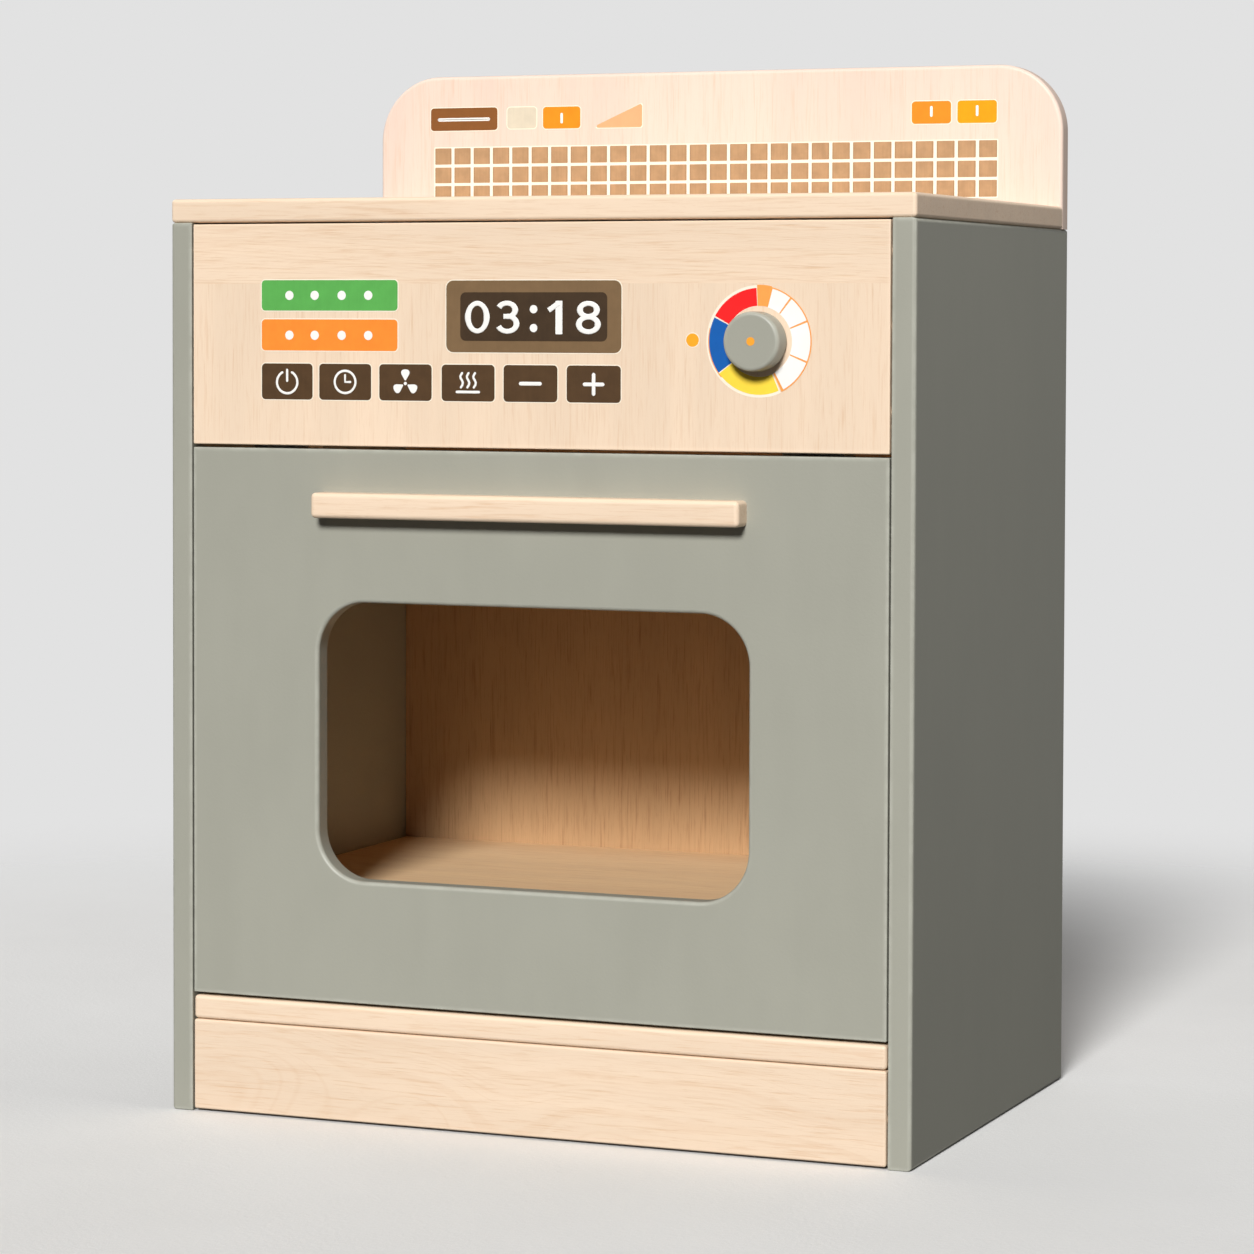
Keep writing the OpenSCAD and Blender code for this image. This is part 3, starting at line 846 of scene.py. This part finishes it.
def stroke(name, points, width, layer, closed=False, round_ends=True):
    """A printed line along points in millimetres, each point with its own half width if it has
    a third number. It is drawn as a tube, turned into a mesh and pressed flat on the panel."""
    half = width / 2
    path = [(x, z, half) for x, z in points] if len(points[0]) == 2 else list(points)
    if round_ends and not closed:
        path = rounded(path[::-1])
        path = rounded(path[::-1])
    curve = bpy.data.curves.new(name, "CURVE")
    curve.dimensions = "3D"
    curve.bevel_depth = 0.001
    curve.bevel_resolution = 3
    curve.use_fill_caps = True
    curve.twist_mode = "MINIMUM"
    spline = curve.splines.new("POLY")
    spline.points.add(len(path) - 1)
    spline.use_cyclic_u = closed
    for point, (x, z, radius) in zip(spline.points, path):
        point.co = (x * 0.001, 0, z * 0.001, 1)
        point.radius = radius
    piece = bpy.data.objects.new(name, curve)
    bpy.context.scene.collection.objects.link(piece)
    only(piece)
    bpy.ops.object.convert(target="MESH")
    piece = bpy.context.object
    flat = ink_thickness * 0.5 / (half * 0.001)
    open_mesh()
    bpy.ops.transform.resize(value=(1, flat, 1), center_override=(0, 0, 0))
    bpy.ops.transform.translate(value=(0, panel_face - ink_thickness * layer, 0))
    close_mesh()
    return piece


def rounded(path):
    """The path with its last end drawn to a half-round tip."""
    (x0, z0, _), (x1, z1, half) = path[-2], path[-1]
    length = math.hypot(x1 - x0, z1 - z0)
    step = ((x1 - x0) / length, (z1 - z0) / length)
    start = (x1 - step[0] * half, z1 - step[1] * half, half)
    tip = []
    for angle in (20, 40, 60, 75, 86):
        reach = half * math.sin(math.radians(angle))
        tip.append((start[0] + step[0] * reach, start[1] + step[1] * reach,
                    half * math.cos(math.radians(angle))))
    return path[:-1] + [start] + tip


panel_under = []


def badge(name, x, z, corner, colour, cloud=0.07):
    """A printed block of colour on the control panel, with its pale edge."""
    panel_under.append(undercoat_card(name, x, z, panel_face, corner))
    printed(name, [card(name, x, z, panel_face, corner, layer=2)],
            ink(f"ink_{name}", colour, cloud))


strip_x = (-184.8, -89.7)
strip_corner = 2.5
strip_dot = 2.9
badge("green_strip", strip_x, (514.1, 533.3), strip_corner, tint(92, 172, 82))
badge("orange_strip", strip_x, (488.9, 508.6), strip_corner, tint(250, 142, 50))
dots = [
    disc("strip_dot", x, z, panel_face, strip_dot, layer=3)
    for x in (-165.2, -147.4, -128.5, -110.0) for z in (523.7, 498.6)
]
printed("strip_dots", dots, white_ink)

bezel_corner = 4.7
glass_corner = 3.6
badge("clock_bezel", (-56.2, 61.4), (488.4, 532.9), bezel_corner, tint(124, 98, 68), 0.08)
printed(
    "clock_window",
    [card("clock_window", (-46.6, 52.1), (495.5, 525.6), panel_face, glass_corner, layer=3)],
    ink("ink_clock_window", tint(66, 49, 32), 0.14),
)

digit_x = (-35.0, -14.7, 3.0, 19.5, 39.6)       # middles of the digits and of the colon
digit_z = 510.2
heavy = 4.35


def bowl(x, z, width, height, start, end, waist=0.6):
    """A round stroke of a digit, thinner at its top and foot than at its sides."""
    return [
        (px, pz, heavy / 2 - waist * abs(pz - z) / height)
        for px, pz in arc_points(x, z, width, height, start, end, 36)
    ]


def digit_stroke(points, width=heavy, layer=4.0, **ends):
    return stroke("digit", points, width, layer, **ends)


nought, three, colon, one, eight = digit_x
colon_dot = 2.55
digits = [
    digit_stroke(bowl(nought, digit_z, 6.4, 8.6, 0, 350), closed=True),
    digit_stroke(bowl(three - 0.3, digit_z + 4.5, 5.6, 4.2, 158, -90), round_ends=False),
    digit_stroke(bowl(three, digit_z - 4.0, 6.2, 4.7, 90, -160), layer=4.1, round_ends=False),
    digit_stroke([(three - 2.6, digit_z + 0.5), (three + 1.0, digit_z + 0.5)],
                 3.2, 4.2, round_ends=False),
    disc("digit", colon, digit_z + 5.0, panel_face, colon_dot, layer=4),
    disc("digit", colon, digit_z - 6.6, panel_face, colon_dot, layer=4),
    card("digit", (one - 1.8, one + 2.8), (digit_z - 10.4, digit_z + 10.2),
         panel_face, 0.4, layer=4),
    digit_stroke([(one - 6.4, digit_z + 4.3), (one + 0.4, digit_z + 8.8)],
                 3.4, 4.3, round_ends=False),
    digit_stroke(bowl(eight, digit_z + 4.6, 5.6, 4.0, 0, 345), closed=True),
    digit_stroke(bowl(eight, digit_z - 4.3, 6.3, 4.5, 0, 345), layer=4.1, closed=True),
]
printed("clock_digits", digits, white_ink)

button_z = (458.0, 480.7)
button_spans = (
    (-184.7, -148.9), (-144.2, -108.0), (-102.3, -66.2),
    (-59.3, -23.3), (-17.2, 19.0), (25.2, 61.1),
)
button_corner = 2.6
button_names = ("power", "timer", "fan", "heat", "minus", "plus")
for name, x in zip(button_names, button_spans):
    badge(f"{name}_button", x, button_z, button_corner, tint(82, 59, 36), 0.12)

middle = sum(button_z) / 2
power_x, timer_x, fan_x, heat_x, minus_x, plus_x = (sum(x) / 2 for x in button_spans)


def symbol_line(points, width, layer=3.0, closed=False):
    return stroke("symbol", points, width, layer, closed)


def blade(x, z, angle):
    """One teardrop blade of the fan, its point towards the hub."""
    profile = [(1.9, 0.35), (3.0, 1.0), (4.4, 1.9), (5.8, 2.7), (7.0, 2.95),
               (8.0, 2.5), (8.6, 1.6), (8.8, 0.5)]
    rim = profile + [(along, -out) for along, out in reversed(profile)]
    turn = math.radians(angle)
    return outline_shape(
        "blade",
        [(x + along * math.cos(turn) - out * math.sin(turn),
          z + along * math.sin(turn) + out * math.cos(turn)) for along, out in rim],
        panel_face, layer=3,
    )


symbols = [
    symbol_line(arc_points(power_x, middle - 0.5, 7.2, 7.0, 112, 428, 36), 1.65),
    symbol_line([(power_x, middle + 8.0), (power_x, middle - 0.3)], 1.65),
    symbol_line(arc_points(timer_x, middle, 7.25, 7.0, 0, 350, 35), 1.6, closed=True),
    symbol_line([(timer_x, middle + 5.0), (timer_x, middle), (timer_x + 4.3, middle)], 1.5),
    disc("hub", fan_x, middle - 0.6, panel_face, 1.05, layer=3),
    symbol_line([(heat_x - 8.4, middle - 5.6), (heat_x + 8.2, middle - 5.6)], 1.8),
    symbol_line([(minus_x - 7.7, middle - 0.1), (minus_x + 7.7, middle - 0.1)], 2.5),
    symbol_line([(plus_x - 7.2, middle - 0.2), (plus_x + 7.2, middle - 0.2)], 2.5),
    symbol_line([(plus_x, middle + 6.9), (plus_x, middle - 7.2)], 2.5, layer=3.1),
]
for angle in (90, 210, 330):
    symbols.append(blade(fan_x, middle - 0.6, angle))
for offset in (-4.5, -0.1, 4.3):
    wave = [(0.9, 6.7), (0.1, 5.6), (-0.7, 4.2), (-0.5, 2.9), (0.4, 1.6),
            (1.0, 0.2), (0.7, -1.2), (-0.2, -2.5), (-0.6, -3.4)]
    symbols.append(symbol_line([(heat_x + offset + x, middle + z) for x, z in wave], 1.6))
printed("button_symbols", symbols, white_ink)


knob_low, knob_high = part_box("knob")
knob_x = (knob_low.x + knob_high.x) * 500
knob_z = (knob_low.z + knob_high.z) * 500


def sector(name, inner, outer, start, end, layer):
    """Part of a printed ring between two angles: a strip spun about the knob's centre."""
    turn = math.radians(start)
    piece = blank(name, bpy.ops.mesh.primitive_plane_add, size=0.001)
    corners = ((inner, 0.5), (outer, 0.5), (inner, -layer), (outer, -layer))
    for vertex, (radius, coat) in zip(piece.data.vertices, corners):
        vertex.co = (
            (knob_x + radius * math.cos(turn)) * 0.001,
            panel_face + coat * ink_thickness,
            (knob_z + radius * math.sin(turn)) * 0.001,
        )
    open_mesh()
    bpy.ops.mesh.spin(
        steps=max(2, round(abs(end - start) / 3)),
        angle=math.radians(end - start),
        center=(knob_x * 0.001, panel_face, knob_z * 0.001),
        axis=(0, 1, 0),
        use_auto_merge=False,
    )
    bpy.ops.mesh.select_all(action="SELECT")
    bpy.ops.mesh.remove_doubles(threshold=0.00001)
    close_mesh()
    return piece


ring_inner, ring_outer = 21.4, 32.2
white_inner = ring_inner - 0.3
white_outer = 32.8
mark_radius, mark_halo = 4.1, 0.5
mark_x, mark_z = 108.0, knob_z + 0.6
panel_under.append(sector("under_scale", white_inner, 33.9, 92.6, 294.4, 1))
panel_under.append(disc("under_dot", mark_x, mark_z, panel_face, mark_radius + mark_halo))
printed("panel_undercoat", panel_under, cream_ink)

for name, start, end, colour in (
    ("red_sector", 93.2, 151.8, tint(250, 30, 32)),
    ("blue_sector", 153.4, 216.2, tint(14, 92, 172)),
    ("yellow_sector", 217.4, 293.2, tint(250, 216, 68)),
):
    coloured = sector(name, ring_inner, ring_outer, start, end, 2)
    printed(name, [coloured], ink(f"ink_{name}", colour, 0.04))
printed(
    "orange_scale",
    [
        sector("orange_scale", ring_inner, 33.6, 295.6, 436.0, 2),
        sector("orange_scale", ring_inner, 34.1, 436.0, 452.4, 2.1),
        sector("orange_scale", ring_outer, white_outer, 166, 222, 2),
    ],
    ink("ink_orange_scale", tint(244, 160, 78), 0.04),
)
printed("zero_mark", [disc("zero_mark", mark_x, mark_z, panel_face, mark_radius, layer=2)],
        ink("ink_zero_mark", tint(250, 168, 38), 0.04))
white_parts = [
    sector("white_scale", white_inner, white_outer, start, end, 3)
    for start, end in ((298.6, 336.9), (339.0, 380.6), (382.8, 410.8), (413.0, 434.8))
]
printed("white_scale", white_parts, white_ink)


# ----------------------------------------------------------
# Oven door. One MDF board in the sage lacquer, with a round-cornered window cut through it and
# all its edges rounded over. It turns down on two steel pins in its lower corners.
# ----------------------------------------------------------

window_half = 0.145         # half the window's width
window_sill = 0.0775        # from the door's lower edge up to the window
window_head = 0.0965        # and from the window up to its top edge
window_corner = 0.032
window_rounding = 0.0026
past = Vector((0, 0.01, 0))
door_low, door_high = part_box("oven_door")
window_low = Vector((-window_half, door_low.y, door_low.z + window_sill))
window_high = Vector((window_half, door_high.y, door_high.z - window_head))
piece = block("door_board", door_low, door_high)
cutter = block("window_cutter", window_low - past, window_high + past)
window_middle = (window_low.z + window_high.z) / 2
round_over(
    cutter, window_corner,
    lambda middle: abs(middle.x) > window_half - near
    and abs(middle.z - window_middle) > window_corner,
    segments=24,
)
carve(piece, cutter)
round_over(
    piece, window_rounding,
    lambda middle: abs(middle.x) < window_half + near
    and window_low.z - near < middle.z < window_high.z + near,
)
round_over(piece, edge_rounding)
handle_low, handle_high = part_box("door_handle")
screw_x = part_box("handle_screws")[1].x - thick_head / 2
handle_screws = [
    (x, door_high.y, (handle_low.z + handle_high.z) / 2) for x in (-screw_x, screw_x)
]
bore(piece, handle_screws, thick_head / 2 + fit_gap, sink_depth, (0, 1, 0))


def door_edge(finish, place):
    """Distance from the nearest edge of the door, its window's edge among them."""
    window = round_rect_gap(
        finish, place,
        (window_low.x, window_low.z), (window_high.x, window_high.z), window_corner * 1000,
    )
    return second_least([*wall_gaps(finish, place, door_low, door_high), abs(window)])


fit(piece, sage_lacquer("sage_lacquer_door", door_edge), "door", "sage_paint", "oven_door")


# ----------------------------------------------------------
# Handle. A plain beech bar with softened edges and its grain along it. Two screws through the
# door hold it flat against the face.
# ----------------------------------------------------------

handle_rounding = 0.003
piece = block("handle_bar", handle_low, handle_high)
round_over(piece, handle_rounding, lambda middle: middle.y < handle_high.y - near)
smooth(piece)
fit_beech(
    piece, "beech_handle", 67, "X", box_edge(handle_low, handle_high), "door_handle",
    body="door",
)


# ----------------------------------------------------------
# Knob. Turned from wood, with a rounded rim, and sprayed sage like the door. An orange dot
# marks its face. It is glued to a wooden spindle that runs through the panel.
# ----------------------------------------------------------

front_rounding, rear_rounding = 0.0025, 0.0006
dot_radius = 2.6
knob_radius = (knob_high.x - knob_low.x) / 2
piece = blank(
    "knob_turned", bpy.ops.mesh.primitive_cylinder_add,
    vertices=96, radius=knob_radius, depth=knob_high.y - knob_low.y,
    location=(knob_low + knob_high) / 2, rotation=upright,
)
round_over(piece, front_rounding, lambda middle: middle.y < knob_low.y + near)
round_over(piece, rear_rounding)
smooth(piece)


def knob_edge(finish, place):
    """Distance from the knob's front rim."""
    x, y, z = finish.axes(place)
    out = ((x - knob_x) ** 2 + (z - knob_z) ** 2) ** 0.5
    return (knob_radius * 1000 - out).most(y - knob_low.y * 1000)


fit(piece, sage_lacquer("sage_lacquer_knob", knob_edge), "knob", "sage_paint", "knob")
dot = disc("knob_dot", knob_x, knob_z, knob_low.y, dot_radius)
fit(dot, ink("ink_knob_dot", tint(250, 166, 50), 0.04), "knob", "beech")


# ----------------------------------------------------------
# Fittings. Zinc-plated steel screws, brackets, cams and plates, white nylon catches and bushes,
# dark magnets, and dowels and a spindle of plain beech.
# ----------------------------------------------------------

def plated(name, colour, roughness):
    """Zinc plate: faint clouds, fine rolling marks and small dull spots."""
    metal = Finish(name, Metallic=1.0)
    place = metal.place()
    clouds = metal.noise(place, (0.3,) * 3, detail=3)
    marks = metal.noise(place, (6.0, 1.2, 0.4), (4, 1, 9), detail=2)
    metal.feed("Base Color", metal.mix(shade(colour, 0.85), shade(colour, 1.1), clouds))
    metal.feed("Roughness", roughness + 0.15 * clouds + 0.08 * marks)
    metal.bump(marks, 0.00002)
    return metal


def moulded(name, colour, roughness):
    """Moulded nylon: an even colour with a fine spark-eroded skin."""
    plastic = Finish(name, Specular_IOR_Level=0.5)
    place = plastic.place()
    skin = plastic.noise(place, (3.0,) * 3, detail=2)
    clouds = plastic.noise(place, (0.12,) * 3, (7, 3, 5), detail=2)
    plastic.feed("Base Color", plastic.mix(shade(colour, 0.95), shade(colour, 1.04), clouds))
    plastic.feed("Roughness", roughness + 0.1 * skin)
    plastic.bump(skin, 0.00002)
    return plastic


def wood_screw(head, shank, length):
    """A countersunk screw pointing forwards, its head's face at the origin: a disc drawn out in
    steps, with a cross cut into the head."""
    piece = blank(
        "screw", bpy.ops.mesh.primitive_circle_add,
        vertices=32, radius=head / 2, fill_type="NGON", rotation=upright,
    )
    open_mesh()
    rim = 0.0003
    neck = rim + (head - shank) / 2
    tip = 0.001
    reached, before = 0, head
    for reach, width in (
        (rim, head), (neck, shank), (length - tip, shank), (length, shank / 2),
    ):
        bpy.ops.mesh.extrude_region_move(
            TRANSFORM_OT_translate={"value": (0, reached - reach, 0)}
        )
        bpy.ops.transform.resize(
            value=(width / before, 1, width / before), center_override=(0, -reach, 0)
        )
        reached, before = reach, width
    close_mesh()
    arm, half, cross_depth = head * 0.3, head * 0.065, head * 0.2
    for x, z in ((arm, half), (half, arm)):
        carve(piece, block("cross_arm", Vector((-x, -cross_depth, -z)), Vector((x, head, z))))
    return piece


def set_screws(name, screw, places, body, node):
    """Copies of one screw at several places, standing for a node."""
    copies = []
    for place in places:
        copy = screw.copy()
        copy.data = screw.data.copy()
        copy.location = place
        bpy.context.scene.collection.objects.link(copy)
        only(copy)
        bpy.ops.object.transform_apply()
        copies.append(copy)
    piece = join(name, copies)
    smooth(piece)
    fit(piece, finishes["steel"], body, "steel", node)


finishes = {
    "steel": plated("zinc_plate", (0.72, 0.73, 0.75, 1), 0.28),
    "zinc": plated("cast_zinc", (0.55, 0.56, 0.58, 1), 0.42),
    "nylon": moulded("white_nylon", tint(238, 234, 224), 0.45),
    "magnet": moulded("ferrite", tint(62, 60, 60), 0.6),
    "dowel_wood": beech("beech_dowels", 71, "Z", pale_beech, pale_figure),
}
for name, head, shank, places, body, node in (
    ("back_sheet_screws", thin_head, thin_shank, back_screws, "cabinet", "back_panel_screws"),
    ("splash_screws", thick_head, thick_shank, splash_screws, "cabinet", "splashback_screws"),
    ("bar_screws", thick_head, thick_shank, handle_screws, "door", "handle_screws"),
):
    low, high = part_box(node)
    model = wood_screw(head, shank, high.y - low.y)
    set_screws(name, model, places, body, node)
    bpy.data.objects.remove(model)

for part in frame["record"]["subparts"]:
    if part["material_slot"] in finishes:
        for surface in nodes[part["node"]].material_slots:
            surface.material = finishes[part["material_slot"]].material


# ----------------------------------------------------------
# The room: a plain pale floor that fades into the backdrop, a low soft key light in front, two
# weak lamps at the sides, and a wall that is bright above and behind the kitchen. The floor
# throws back less light than its colour would, so that the inside of the oven stays dark.
# ----------------------------------------------------------

def grey(value):
    return (value, value, value, 1)


backdrop = tint(226, 226, 226)
floor_grey = tint(239, 238, 236)
floor_bounce = grey(0.15)
floor_radius = 3.0
fade_start, fade_end = 600, 1600        # in millimetres from the middle of the kitchen

floor = blank(
    "studio_floor", bpy.ops.mesh.primitive_circle_add,
    vertices=96, radius=floor_radius, fill_type="NGON",
)
plaster = Finish("pale_floor", Roughness=0.85)
place = plaster.place()
specks = plaster.noise(place, (0.25,) * 3, detail=4, roughness=0.7)
clouds = plaster.noise(place, (0.008,) * 3, (5, 5, 5), detail=3)
mottle = clouds * 0.6 + specks * 0.4
pale = plaster.mix(shade(floor_grey, 0.93), shade(floor_grey, 1.04), mottle)
seen = plaster.add("ShaderNodeLightPath", out="Is Camera Ray")
plaster.feed("Base Color", plaster.mix(floor_bounce, pale, seen))
plaster.bump(specks, 0.0004)
x, y, z = plaster.axes(place)
plaster.feed("Alpha", ((x ** 2 + y ** 2) ** 0.5).rise(fade_end, fade_start))
floor.data.materials.append(plaster.material)

class Sky(Finish):
    """The light from all round, made of nodes as a finish is."""

    def __init__(self, name):
        self.world = bpy.data.worlds.new(name)
        self.world.use_nodes = True
        self.tree = self.world.node_tree


sky = Sky("studio_light")
bpy.context.scene.world = sky.world
way = sky.add("ShaderNodeTexCoord", out="Generated")
above_behind = sky.add(
    "ShaderNodeVectorMath", {"operation": "DOT_PRODUCT"}, {0: way, 1: (0, 0.8, 0.6)}, out="Value",
)
dim = sky.add("ShaderNodeBackground", sockets={"Color": grey(0.035)})
bright = sky.add("ShaderNodeBackground", sockets={"Color": grey(0.38)})
plain = sky.add("ShaderNodeBackground", sockets={"Color": backdrop})
around = sky.add(
    "ShaderNodeMixShader", sockets={0: above_behind.rise(0.25, 1.0), 1: dim, 2: bright}
)
seen = sky.add("ShaderNodeLightPath", out="Is Camera Ray")
light = sky.add("ShaderNodeMixShader", sockets={0: seen, 1: around, 2: plain})
sky.tree.links.new(light.socket, sky.tree.nodes["World Output"].inputs["Surface"])


def lamp(kind, name, place, target, energy):
    """A lamp that looks at a point and is not seen itself."""
    bpy.ops.object.light_add(type=kind, location=place)
    light = bpy.context.object
    light.name = name
    light.data.energy = energy
    light.rotation_euler = (Vector(target) - Vector(place)).to_track_quat("-Z", "Y").to_euler()
    light.visible_camera = False
    return light


key_rise, key_turn, key_spread = math.radians(28.5), math.radians(8.5), math.radians(14)
key_strength = 3.8
key_way = Vector((
    math.sin(key_turn) * math.cos(key_rise),
    -math.cos(key_turn) * math.cos(key_rise),
    math.sin(key_rise),
))
key = lamp("SUN", "key_lamp", 6 * key_way, (0, 0, 0), key_strength)
key.data.angle = key_spread
side_face = cad_box[1][0]
side_height = 0.4
side_lamp_size = 0.4
for name, place, energy in (
    ("right_lamp", (0.95, -0.2, 1.0), 1.5),
    ("left_lamp", (-0.95, 0.15, 1.0), 1.6),
):
    target = (math.copysign(side_face, place[0]), 0, side_height)
    fill = lamp("AREA", name, place, target, energy)
    fill.data.shape = "DISK"
    fill.data.size = side_lamp_size

# The camera looks from the front right, a little below the worktop's height.
camera_data = bpy.data.cameras.new("front_view")
camera_data.sensor_width = 36
camera_data.lens = 115.40
camera_data.shift_y = -0.1164
camera_data.clip_start = 0.1
camera = bpy.data.objects.new("front_view", camera_data)
bpy.context.scene.collection.objects.link(camera)
camera.location = (0.9924, -2.4274, 0.5055)
camera.rotation_euler = (math.radians(90 - 2.22), math.radians(-0.17), math.radians(22.20))
bpy.context.scene.camera = camera

scene = bpy.context.scene
scene.view_settings.view_transform = "Standard"
scene.view_settings.look = "None"
